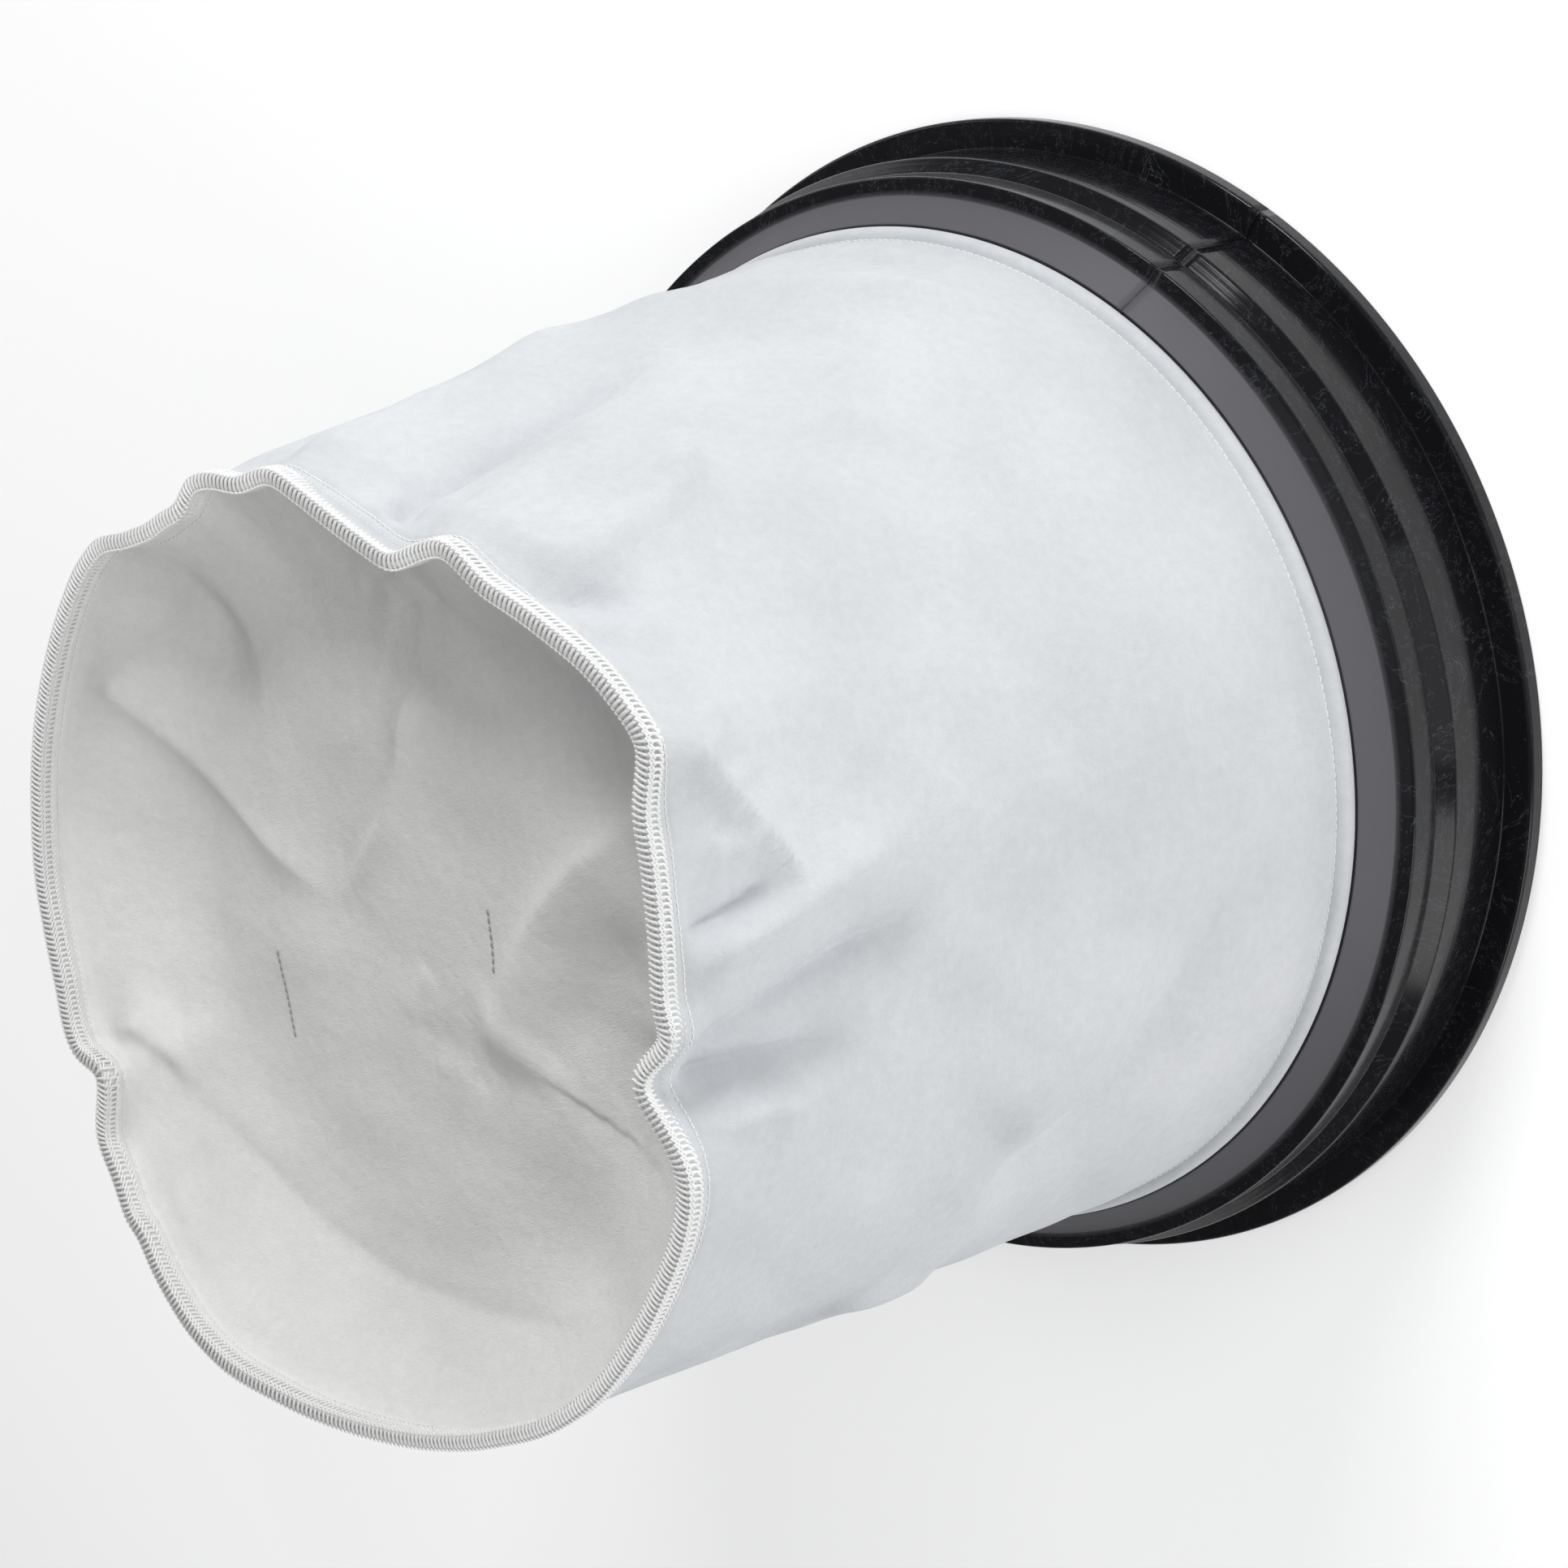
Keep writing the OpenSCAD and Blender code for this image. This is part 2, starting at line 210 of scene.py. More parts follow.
class BagSizes(bpy.types.PropertyGroup):
    """Sizes of the felt bag and the way that it hangs."""

    mouth_radius: length("Mouth radius", "Outside radius of the sleeve at the ring", 0.1832)
    end_radius: length("End radius", "Outside radius of the sleeve at its closed end", 0.158)
    collar: length("Collar", "Height at which the sleeve starts to taper", 0.0878)
    seam: length("Seam", "Height of the seam that closes the bag", 0.3378)
    rim: length("Rim", "Height of the rim above the ring's back face", 0.3468)
    felt: length("Felt thickness", "Thickness of the needle felt", 0.0019)
    dish: length("Dish height", "Height of the end panel's middle", 0.3118)
    flat_radius: length("Flat radius", "Radius of the end panel's flat middle", 0.100)
    lean_x: offset("Lean across", "How far the rim leans along X", -0.0085)
    lean_y: offset("Lean along", "How far the rim leans along Y", 0.0147)
    slack: FloatProperty(name="Slack", description="Strength of the folds", default=1.0, min=0, max=1.5)
    seed: IntProperty(name="Seed", description="Seed of the felt's gentle unevenness", default=7)


class SewingSizes(bpy.types.PropertyGroup):
    """Sizes of the thread and the stitches."""

    thread: length("Thread", "Diameter of the sewing thread", 0.0005)
    border: length("Border", "Depth of the overlocked border", 0.005)
    wrap_pitch: length("Wrap pitch", "Distance between two overlock wraps", 0.0019)
    stitch: length("Stitch", "Length of one lockstitch", 0.0023)


class Colours(bpy.types.PropertyGroup):
    """Colours of the materials."""

    rubber: colour("Rubber", "Black rubber of the seal ring", "#17171a")
    sleeve: colour("Sleeve felt", "Needle felt of the sleeve", "#dadcdf")
    panel: colour("Panel felt", "Needle felt of the end panel", "#f1f1f0")
    thread: colour("Thread", "Sewing thread", "#fbfbfa")
    webbing: colour("Webbing", "Pull strap", "#e4e2dc")
    cord: colour("Cord", "Cord inside the hem", "#e9e6dc")
    floor: colour("Floor", "Studio floor", "#f7f7f7")


class StageSizes(bpy.types.PropertyGroup):
    """Where the camera stands."""

    lens: FloatProperty(name="Lens", description="Focal length in mm on a 36 mm sensor", default=74.5, min=10)
    distance: length("Distance", "From the camera to its target", 1.151)
    target: length("Target height", "Height of the point that the camera looks at", 0.144)
    elevation: turn_angle("Elevation", "How far above the floor the camera looks from", 44.9)
    roll: turn_angle("Roll", "Turn of the camera about its own line of sight", 109.4)


# ---------------------------------------------------------------- materials


def node(tree, kind, inputs=None, **settings):
    """Adds a node with its settings. Each input is a value, or the (node, output) that feeds it."""
    made = tree.nodes.new(kind)
    for key, value in settings.items():
        setattr(made, key, value)
    for key, value in (inputs or {}).items():
        if isinstance(value, tuple) and len(value) == 2 and isinstance(value[0], bpy.types.Node):
            tree.links.new(value[0].outputs[value[1]], made.inputs[key])
        else:
            made.inputs[key].default_value = value
    return made


def surface(name, inputs):
    """A new material with one Principled shader, and its tree, shader and object coordinates."""
    material = bpy.data.materials.new(name)
    material.use_nodes = True
    tree = material.node_tree
    shader = tree.nodes["Principled BSDF"]
    for key, value in inputs.items():
        shader.inputs[key].default_value = value
    return material, tree, shader, (node(tree, "ShaderNodeTexCoord"), "Object")


# Each of these adds one node and gives back (node, output), ready to feed another


def noise(tree, spot, scale, detail, roughness=0.5, distortion=0.0):
    """Soft noise: about one blotch for each 1 / scale metres."""
    inputs = {"Vector": spot, "Scale": scale, "Detail": detail}
    inputs.update({"Roughness": roughness, "Distortion": distortion})
    return node(tree, "ShaderNodeTexNoise", inputs), "Fac"


def ramp(tree, value, low, high, top=1.0):
    """Rises from 0 to the top while the value goes from low to high."""
    inputs = {"Value": value, "From Min": low, "From Max": high, "To Max": top}
    return node(tree, "ShaderNodeMapRange", inputs), "Result"


def maths(tree, operation, *values, **settings):
    """One sum on its values."""
    return node(tree, "ShaderNodeMath", dict(enumerate(values)), operation=operation, **settings), 0


def blend(tree, share, low, high):
    """A colour between two, which are colours or come from other nodes."""
    low, high = ((*c, 1) if len(c) == 3 else c for c in (low, high))
    return node(tree, "ShaderNodeMix", {0: share, 6: low, 7: high}, data_type="RGBA"), 2


def level(tree, share, low, high):
    """A number between two."""
    return node(tree, "ShaderNodeMix", {0: share, 2: low, 3: high}, data_type="FLOAT"), 0


def bumps(tree, height, strength, distance, inputs=None, **settings):
    """Relief too fine for the mesh, in metres."""
    given = {"Height": height, "Strength": strength, "Distance": distance, **(inputs or {})}
    return node(tree, "ShaderNodeBump", given, **settings), "Normal"


def feed(tree, shader, colour=None, normal=None, roughness=None):
    """Links (node, output) pairs to the shader's sockets."""
    for socket, source in (("Base Color", colour), ("Normal", normal), ("Roughness", roughness)):
        if source:
            tree.links.new(source[0].outputs[source[1]], shader.inputs[socket])


def darker(base, share):
    """That share of a colour's brightness."""
    return tuple(c * share for c in base)


def needle_felt(name, base, low):
    """Needle-punched polyester felt: matt and short-haired, with faint clouds where the web is thinner."""
    look = {"Roughness": 0.95, "Sheen Weight": 0.12, "Sheen Roughness": 0.6, "Specular IOR Level": 0.15}
    material, tree, shader, spot = surface(name, look)
    # Clouds of the carded web, about 70 mm across, give the slow change of tone
    cloud = noise(tree, spot, 14.0, 3.0, 0.55)
    # Tufts about 4 mm across give the mottling
    tuft = noise(tree, spot, 260.0, 3.0, 0.6)
    tone = blend(tree, ramp(tree, level(tree, 0.35, cloud, tuft), 0.35, 0.65), low, base)
    # Fibres 0.02 mm thick can't show, so they are drawn about 0.8 mm wide and 3 mm long, in bent bunches
    turned = {"Vector": spot, "Rotation": (0.5, 0.3, 0.7), "Scale": (1.0, 0.32, 0.6)}
    stretched = node(tree, "ShaderNodeMapping", turned), "Vector"
    fine = bumps(tree, noise(tree, stretched, 1300.0, 3.0, 0.65, 1.2), 0.5, 0.0006)
    # Dimples of the needle punching, about 6 mm across
    dimple = noise(tree, spot, 160.0, 2.0)
    feed(tree, shader, tone, bumps(tree, dimple, 0.3, 0.0014, {"Normal": fine}))
    return material


def extruded_rubber(name, base):
    """Extruded black rubber, bent round and bonded: a deep satin skin with die lines, scuffs and dust."""
    material, tree, shader, spot = surface(name, {"IOR": 1.5, "Specular IOR Level": 0.22})
    apart = node(tree, "ShaderNodeSeparateXYZ", {"Vector": spot})
    x, y, z = ((apart, axis) for axis in "XYZ")
    radius = maths(tree, "SQRT", maths(tree, "MULTIPLY_ADD", y, y, maths(tree, "MULTIPLY", x, x)))
    # Die lines run round the ring, so they change with radius and height only, every 1 to 3 mm
    rings = node(tree, "ShaderNodeCombineXYZ", {"X": radius, "Y": 0.0, "Z": z}), "Vector"
    lines = noise(tree, rings, 420.0, 3.0, 0.6)
    # Cloudy bloom and hand marks, about 40 mm across
    bloom = noise(tree, spot, 26.0, 4.0, 0.6)
    # The cone between the nose and the hem is rougher, and is painted a lighter grey: painted sheen of that matt
    # face
    cone = ramp(tree, z, 0.0572, 0.0578)
    gloss = level(tree, cone, 0.13, 0.52)
    spread = maths(tree, "MULTIPLY_ADD", bloom, 0.22, gloss)
    rough = maths(tree, "SUBTRACT", maths(tree, "MULTIPLY_ADD", lines, 0.12, spread), 0.16)
    # Dust specks about 0.6 mm across, and scratches drawn 0.3 mm wide
    dust = ramp(tree, noise(tree, spot, 900.0, 2.0), 0.70, 0.76, 0.5)
    scratch = maths(tree, "COMPARE", noise(tree, spot, 22.0, 5.0, 0.7, 3.0), 0.5, 0.004)
    marks = maths(tree, "MULTIPLY_ADD", scratch, 0.35, dust, use_clamp=True)
    # Painted sheen: the cone's colour is a lighter grey than the rest of the ring
    skin = blend(tree, cone, base, linear("#5f5e62"))
    shown = blend(tree, marks, skin, linear("#5d6066"))
    feed(tree, shader, shown, bumps(tree, lines, 0.18, 0.0003), rough)
    return material


def cured_adhesive(name):
    """Cyanoacrylate squeezed from a butt joint: glossy black with a slightly uneven skin."""
    look = {"Base Color": (*linear("#0c0c0d"), 1), "Roughness": 0.18}
    material, tree, shader, spot = surface(name, look)
    feed(tree, shader, normal=bumps(tree, noise(tree, spot, 700.0, 2.0), 0.3, 0.0003))
    return material


def spun_thread(name, base):
    """Spun polyester thread: white with a slight silky shine, shaded between its plies."""
    look = {"Roughness": 0.5, "Sheen Weight": 0.2, "Specular IOR Level": 0.4}
    material, tree, shader, spot = surface(name, look)
    # Plies of 0.25 mm give the small change of tone along the thread
    ply = noise(tree, spot, 3200.0, 1.0)
    tone = blend(tree, ramp(tree, ply, 0.35, 0.6), darker(base, 0.86), base)
    feed(tree, shader, tone, bumps(tree, ply, 0.4, 0.0002))
    return material


def woven_tape(name, base):
    """Plain-woven polypropylene webbing: crosswise ribs every 1.6 mm and lengthwise warp every 1 mm."""
    material, tree, shader, spot = surface(name, {"Roughness": 0.7, "Specular IOR Level": 0.3})
    ribs = {"Vector": spot, "Scale": 98.0, "Distortion": 0.6, "Detail Scale": 4.0}
    rib = node(tree, "ShaderNodeTexWave", ribs, bands_direction="Y"), "Fac"
    warps = {"Vector": spot, "Scale": 157.0, "Distortion": 0.4}
    warp = node(tree, "ShaderNodeTexWave", warps, bands_direction="X"), "Fac"
    weave = maths(tree, "MULTIPLY", rib, warp)
    # Painted shade: the weave's hollows between the ribs and the warps are painted darker
    feed(tree, shader, blend(tree, weave, darker(base, 0.7), base), bumps(tree, weave, 0.6, 0.0004))
    return material


def braided_cord(name, base):
    """Braided cotton cord: matt, with strands about 1 mm wide."""
    material, tree, shader, spot = surface(name, {"Roughness": 0.9})
    strand = node(tree, "ShaderNodeTexVoronoi", {"Vector": spot, "Scale": 900.0}), "Distance"
    # Painted shade: the colour darkens towards the edge of each strand, in the grooves between the strands
    tone = blend(tree, strand, base, darker(base, 0.75))
    feed(tree, shader, tone, bumps(tree, strand, 0.5, 0.0004, invert=True))
    return material


def card_floor(name, base):
    """Matt white card, with a tone that hardly changes."""
    glow = {"Emission Color": (1, 1, 1, 1), "Emission Strength": 0.40}
    material, tree, shader, spot = surface(name, {"Roughness": 1.0, "Specular IOR Level": 0.0, **glow})
    feed(tree, shader, blend(tree, noise(tree, spot, 2.0, 2.0), darker(base, 0.985), base))
    return material


def finish(key):
    """The material of that key, made at its first use from the sidebar's colours."""
    tones = bpy.context.scene.filter_bag_colours
    finishes = {
        "rubber": ("extruded_rubber", extruded_rubber, tuple(tones.rubber)),
        "adhesive": ("cured_adhesive", cured_adhesive),
        "sleeve": ("needle_felt_sleeve", needle_felt, tuple(tones.sleeve), linear("#cdd0d3")),
        "panel": ("needle_felt_panel", needle_felt, tuple(tones.panel), linear("#e6e6e4")),
        "thread": ("spun_polyester_thread", spun_thread, tuple(tones.thread)),
        # The tacks' thread is painted mid grey: painted shade of the needle holes along the tack rows
        "tack": ("grimy_tack_thread", spun_thread, linear("#a8a49c")),
        "webbing": ("woven_webbing", woven_tape, tuple(tones.webbing)),
        "cord": ("braided_cotton_cord", braided_cord, tuple(tones.cord)),
        "floor": ("matt_card_floor", card_floor, tuple(tones.floor)),
    }
    name, maker, *colours = finishes[key]
    return bpy.data.materials.get(name) or maker(name, *colours)


# ---------------------------------------------------------------- shared shapes


def mesh_piece(name, points, faces, key):
    """A closed mesh in the part's frame, shaded smooth, with its faces turned outwards."""
    mesh = bpy.data.meshes.new(name)
    mesh.from_pydata(points.tolist(), [], faces)
    work = bmesh.new()
    work.from_mesh(mesh)
    bmesh.ops.recalc_face_normals(work, faces=work.faces)
    work.to_mesh(mesh)
    work.free()
    mesh.shade_smooth()
    for face in mesh.polygons:
        face.use_smooth = face.loop_total <= 4
    mesh.materials.append(finish(key))
    made = bpy.data.objects.new(name, mesh)
    bpy.context.scene.collection.objects.link(made)
    return made


def declare(piece, cad_node):
    """The piece rides on the bag's one body and stands for its CAD node, which is hidden."""
    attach(piece, BODY)
    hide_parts(cad_node)


def grid_faces(rows, columns, last_to_first):
    """Quads between a grid's rows, each row closed round, and the last row joined to the first if wanted."""
    a, b = np.meshgrid(np.arange(rows if last_to_first else rows - 1), np.arange(columns), indexing="ij")
    a2, b2 = (a + 1) % rows, (b + 1) % columns
    quads = np.stack([a * columns + b, a * columns + b2, a2 * columns + b2, a2 * columns + b], -1)
    return quads.reshape(-1, 4).tolist()


def capped_piece(name, points, key):
    """A solid from rows of points in mm, each row a closed section, with flat ends."""
    rows, count = points.shape[:2]
    ends = [list(range(count))[::-1], [(rows - 1) * count + i for i in range(count)]]
    return mesh_piece(name, points.reshape(-1, 3) * MM, grid_faces(rows, count, False) + ends, key)


def rounded(corners, steps=5, hold=0.4):
    """A closed outline with each (r, z, radius) corner rounded, and a point held in mm beside each rounding."""
    out = []
    for i, (r, z, radius) in enumerate(corners):
        here = np.array([r, z])
        before = np.array(corners[i - 1][:2]) - here
        after = np.array(corners[(i + 1) % len(corners)][:2]) - here
        la, lb = np.linalg.norm(before), np.linalg.norm(after)
        before, after = before / la, after / lb
        half = math.acos(np.clip(before @ after, -1, 1)) / 2
        cut = min(radius / math.tan(half), 0.45 * la, 0.45 * lb)
        start, end = here + before * cut, here + after * cut
        if cut + hold < 0.48 * la:
            out.append(here + before * (cut + hold))
        centre = here + (before + after) / np.linalg.norm(before + after) * (cut / math.cos(half))
        r0 = np.linalg.norm(start - centre)
        for k in range(steps + 1):
            p = start + (end - start) * k / steps
            d = p - centre
            out.append(centre + d / np.linalg.norm(d) * r0 if math.sin(half) < 0.999 else p)
        if cut + hold < 0.48 * lb:
            out.append(here + after * (cut + hold))
    return np.array(out)


def smooth_round(values, degrees_wide):
    """A closed row of values, blurred by a bell of that width in degrees."""
    k = np.arange(len(values) // 2 + 1)
    bell = np.exp(-0.5 * (k * math.radians(degrees_wide)) ** 2)
    return np.fft.irfft(np.fft.rfft(values) * bell, len(values))


def spline(points, steps=6):
    """Points along a smooth line through the given ones."""
    p = np.array(points, float)
    ends = np.vstack([2 * p[0] - p[1], p, 2 * p[-1] - p[-2]])
    out = []
    for i in range(1, len(ends) - 2):
        a, b, c, d = ends[i - 1 : i + 3]
        for t in np.arange(steps) / steps:
            bend, twist = 2 * a - 5 * b + 4 * c - d, 3 * b - a - 3 * c + d
            out.append(0.5 * (2 * b + (c - a) * t + bend * t**2 + twist * t**3))
    return np.array([*out, p[-1]])


def from_line(u, v, line):
    """How far each point lies from a line, with its side as the sign, and how far along it, from 0 to 1."""
    steps = np.hypot(*(line[1:] - line[:-1]).T)
    total, run = steps.sum(), 0.0
    best = np.full(u.shape, 1e9)
    signed, share = np.zeros(u.shape), np.zeros(u.shape)
    for p, q, size in zip(line[:-1], line[1:], steps):
        du, dv = (q - p) / size
        t = np.clip((u - p[0]) * du + (v - p[1]) * dv, 0, size)
        away = np.hypot(u - p[0] - t * du, v - p[1] - t * dv)
        near = away < best
        side = np.where((v - p[1]) * du - (u - p[0]) * dv < 0, -1.0, 1.0)
        best = np.where(near, away, best)
        signed = np.where(near, away * side, signed)
        share = np.where(near, (run + t) / total, share)
        run += size
    return signed, share


def ease(x):
    """A smooth step from 0 to 1."""
    x = np.clip(x, 0, 1)
    return x * x * (3 - 2 * x)


def fold_height(u, v, fold, line):
    """Height in mm that one fold adds at each point, falling away from its crest on both sides."""
    height, left, right, crest = fold[:4]
    away, share = from_line(u, v, line)
    ends = ease(share / 0.18) * ease((1 - share) / 0.3)
    return height * ends * np.exp((crest - np.hypot(away, crest)) / np.where(away > 0, left, right))


def unevenness(u, v, seed, shortest, longest, size, count=26):
    """Gentle random swells in mm, of many wavelengths."""
    rng = np.random.default_rng(seed)
    total = np.zeros(np.broadcast(u, v).shape)
    for _ in range(count):
        wave = math.exp(rng.uniform(math.log(shortest), math.log(longest)))
        turn, phase = rng.uniform(0, math.pi), rng.uniform(0, math.tau)
        total += wave / longest * np.sin((u * math.cos(turn) + v * math.sin(turn)) * math.tau / wave + phase)
    return total * size


class BagShape:
    """The felt's middle surface, as the bag hangs. Angles are in radians and sizes in mm."""

    def __init__(self):
        sizes = bpy.context.scene.filter_bag_sizes
        lengths = [key for key in BagSizes.__annotations__ if key not in ("slack", "seed")]
        self.size = {key: getattr(sizes, key) / MM for key in lengths}
        self.slack, self.seed = sizes.slack, sizes.seed
        self.rows()

    def rows(self):
        """The rim's waves as even rows of values: broad ones, narrow ones, its rise and its border's lean."""
        self.grid = np.arange(720) / 2
        waves = np.array(sorted(RIM_WAVES), float)
        out, up, lean = (np.interp(self.grid, waves[:, 0], waves[:, k], period=360) for k in (1, 2, 3))
        self.broad = smooth_round(out, 16) * self.slack
        self.narrow = smooth_round(out, 1.3) * self.slack - self.broad
        self.up = smooth_round(up, 4) * self.slack
        self.border = smooth_round(lean, 2) * self.slack

    def at(self, values, angle):
        """One of the rim's rows of values, at these angles."""
        return np.interp(np.degrees(angle) % 360, self.grid, values, period=360)

    def middle(self, angle, z, plain=False):
        """Points of the sleeve's middle surface. A plain one has only the lean and the broad waves."""
        s = self.size
        low = np.clip(s["rim"] - z, 0, None)
        free = ease((z - s["collar"] + 12) / (s["rim"] - s["collar"]))
        taper = np.clip((z - s["collar"]) / (s["seam"] - s["collar"]), 0, 1)
        radius = s["mouth_radius"] + (s["end_radius"] - s["mouth_radius"]) * taper - s["felt"] / 2
        out = self.at(self.broad, angle) * free
        rise = self.at(self.up, angle) * np.exp(-((low / RISE_REACH) ** 2))
        if not plain:
            out = out + self.at(self.narrow, angle) * np.exp(-((low / WAVE_REACH) ** 1.6))
            out = out + self.at(self.border, angle) * ease((z - s["seam"] + 3) / (s["rim"] - s["seam"] + 3))
            arc, half_turn = angle * CLOTH_RADIUS, math.pi * CLOTH_RADIUS
            folds = 0.0
            for fold in SLEEVE_FOLDS:
                line = spline([(math.radians(a) * CLOTH_RADIUS, h) for a, h in fold[4]])
                start = line[:, 0].mean() - half_turn
                folds = folds + fold_height((arc - start) % (2 * half_turn) + start, z, fold, line)
            across, along = np.cos(angle) * CLOTH_RADIUS, np.sin(angle) * CLOTH_RADIUS
            swell = unevenness(across, along + z, self.seed, 24, 120, 0.2)
            swell = swell + unevenness(across - z, along, self.seed + 1, 24, 120, 0.2)
            folds = folds + swell * ease((z - s["collar"]) / 40)
            patches = [(math.radians(a) * CLOTH_RADIUS, *rest) for a, *rest in SLEEVE_CRUMPLES]
            folds = folds + self.crumple(arc % (2 * half_turn), z, patches, self.seed + 4)
            out = out + self.slack * folds * ease((s["rim"] - 4 - z) / 18)
            out = out + self.lap(angle, z)
        x = (radius + out) * np.cos(angle) + s["lean_x"] * free
        y = (radius + out) * np.sin(angle) + s["lean_y"] * free
        return np.stack([x, y, z + rise], -1)

    def lap(self, angle, z):
        """The step down from the outer end of the sheet to the inner one, along the side seam."""
        s = self.size
        away = (np.degrees(angle) - LAP_EDGE + 180) % 360 - 180
        inside = ease((z - s["collar"]) / 8) * ease((s["seam"] - 4 - z) / 8)
        return -0.8 * s["felt"] * inside * np.where(away < 0, np.exp(away / 7), 0.0)

    @staticmethod
    def crumple(u, v, patches, seed):
        """Small creases in mm, strongest in the middle of each patch."""
        share = sum(np.exp(-(((u - a) / wide) ** 2) - ((v - b) / tall) ** 2) for a, b, wide, tall in patches)
        return unevenness(u, v, seed, 8, 24, 0.3, 18) * np.clip(share, 0, 1)

    def frame(self, angle, z, plain=False):
        """Points, the direction round, the direction up and the outward normal."""
        small_a, small_z = math.radians(0.3), 0.6
        points = self.middle(angle, z, plain)
        round_ = self.middle(angle + small_a, z, plain) - self.middle(angle - small_a, z, plain)
        upward = self.middle(angle, z + small_z, plain) - self.middle(angle, z - small_z, plain)
        normal = np.cross(round_, upward)
        return points, *(v / np.linalg.norm(v, axis=-1, keepdims=True) for v in (round_, upward, normal))

    def face(self, angle, z, depth):
        """Points at that depth from the middle surface, outwards if positive."""
        points, _, _, normal = self.frame(angle, z)
        row = self.size["seam"] + CLOSING_ROW
        pinch = 0.35 * np.exp(-(((z - row - 2.0) / 1.1) ** 2)) - 0.5 * np.exp(-(((z - row) / 0.9) ** 2))
        return points + normal * (depth + np.sign(depth) * pinch)[..., None]

    def relief(self, x, y):
        """Height in mm of the creases and swells of the end panel."""
        total = unevenness(x, y, self.seed + 2, 26, 150, 0.4)
        for fold in PANEL_FOLDS:
            total = total + fold_height(x, y, fold, spline(fold[4]))
        return (total + self.crumple(x, y, PANEL_CRUMPLES, self.seed + 5)) * self.slack

    def angles(self):
        """Angles of the felt's columns, closer together at the edge of the lap."""
        base = np.arange(FELT_STEPS) * 360 / FELT_STEPS
        base = base[np.abs(base - LAP_EDGE) > 0.5]
        return np.radians(np.sort(np.concatenate([base, LAP_EDGE + np.array([-0.4, -0.02, 0.02, 0.4])])))


def ring_points(radius, turns):
    """Points of the hem's section on a circle round its cord."""
    return [(CORD_AT[0] + radius * math.cos(a), CORD_AT[1] + radius * math.sin(a)) for a in turns]


def build_sleeve(shape):
    """The sleeve's closed sheet: both faces, the rim's edge, and the hem turned round its cord."""
    s = shape.size
    half = s["felt"] / 2
    angle = shape.angles()
    # Rows lie closer together from the rim down to the seam, where the felt is pinched
    fine_rows = np.linspace(s["rim"] - 0.5, s["seam"] - 3, 18)
    outer = np.concatenate([fine_rows, np.linspace(s["seam"] - 5, 72.6, 98)])
    inner = np.linspace(72.4, s["rim"] - 0.5, 44)
    wall = [(s["rim"], -half + 0.45), (s["rim"], half - 0.45), *((z, half) for z in outer)]
    back = [(z, -half) for z in inner]
    turn = ring_points(TURN_RADIUS, np.radians(np.arange(98, -136, -18)))
    loop = ring_points(CORD_RADIUS, np.radians(np.arange(205, 501, 37)))
    hem = np.array([*HEM_DOWN, *turn, *HEM_LIP, *loop, *HEM_BACK])
    shells = []
    for rows in (wall, back):
        grid = np.zeros((len(rows), len(angle)))
        z, depth = (np.array(v)[:, None] + grid for v in zip(*rows))
        shells.append(shape.face(angle[None, :], z, depth))
    radius, height = hem[:, :1], hem[:, 1:] + 0 * angle
    turned = np.stack([radius * np.cos(angle), radius * np.sin(angle), height], -1)
    points = np.concatenate([shells[0], turned, shells[1]])
    faces = grid_faces(points.shape[0], points.shape[1], True)
    return mesh_piece("sleeve_felt", points.reshape(-1, 3) * MM, faces, "sleeve")


def panel_points(shape, angle, share, drop):
    """Upper face of the panel's dish, at shares of the way from its centre to the seam."""
    s = shape.size
    depth = -s["felt"] * 1.5 - PANEL_GAP
    seam = np.full(angle.shape, s["seam"] + 1.5)
    foot = shape.face(angle, seam, np.full(angle.shape, depth))
    base, _, _, normal = shape.frame(angle, seam, plain=True)
    base = base + normal * depth
    # The panel hangs below the rim, so its middle leans a little less
    centre = np.array([s["lean_x"], s["lean_y"]]) * 0.93
    share = np.asarray(share)[:, None]
    inward = (1 - share) * PANEL_RADIUS
    settle = (share * np.exp(-inward / WAVE_SETTLE))[..., None]
    flat = centre + (base[:, :2] - centre) * share[..., None] + (foot - base)[:, :2] * settle
    rise = PANEL_RADIUS - 1 - s["flat_radius"]
    bend = np.clip((share * (PANEL_RADIUS - 1) - s["flat_radius"]) / rise, 0, 1)
    height = s["dish"] + (s["seam"] - s["dish"]) * (1 - np.cos(bend * math.pi / 2))
    lift = (foot[:, 2] - seam)[None, :] * share * np.exp(-inward / RISE_SETTLE)
    relief = shape.relief(flat[..., 0], flat[..., 1]) * ease((inward - 2) / 14)
    return np.concatenate([flat, (height + np.asarray(drop)[:, None] + lift + relief)[..., None]], -1)


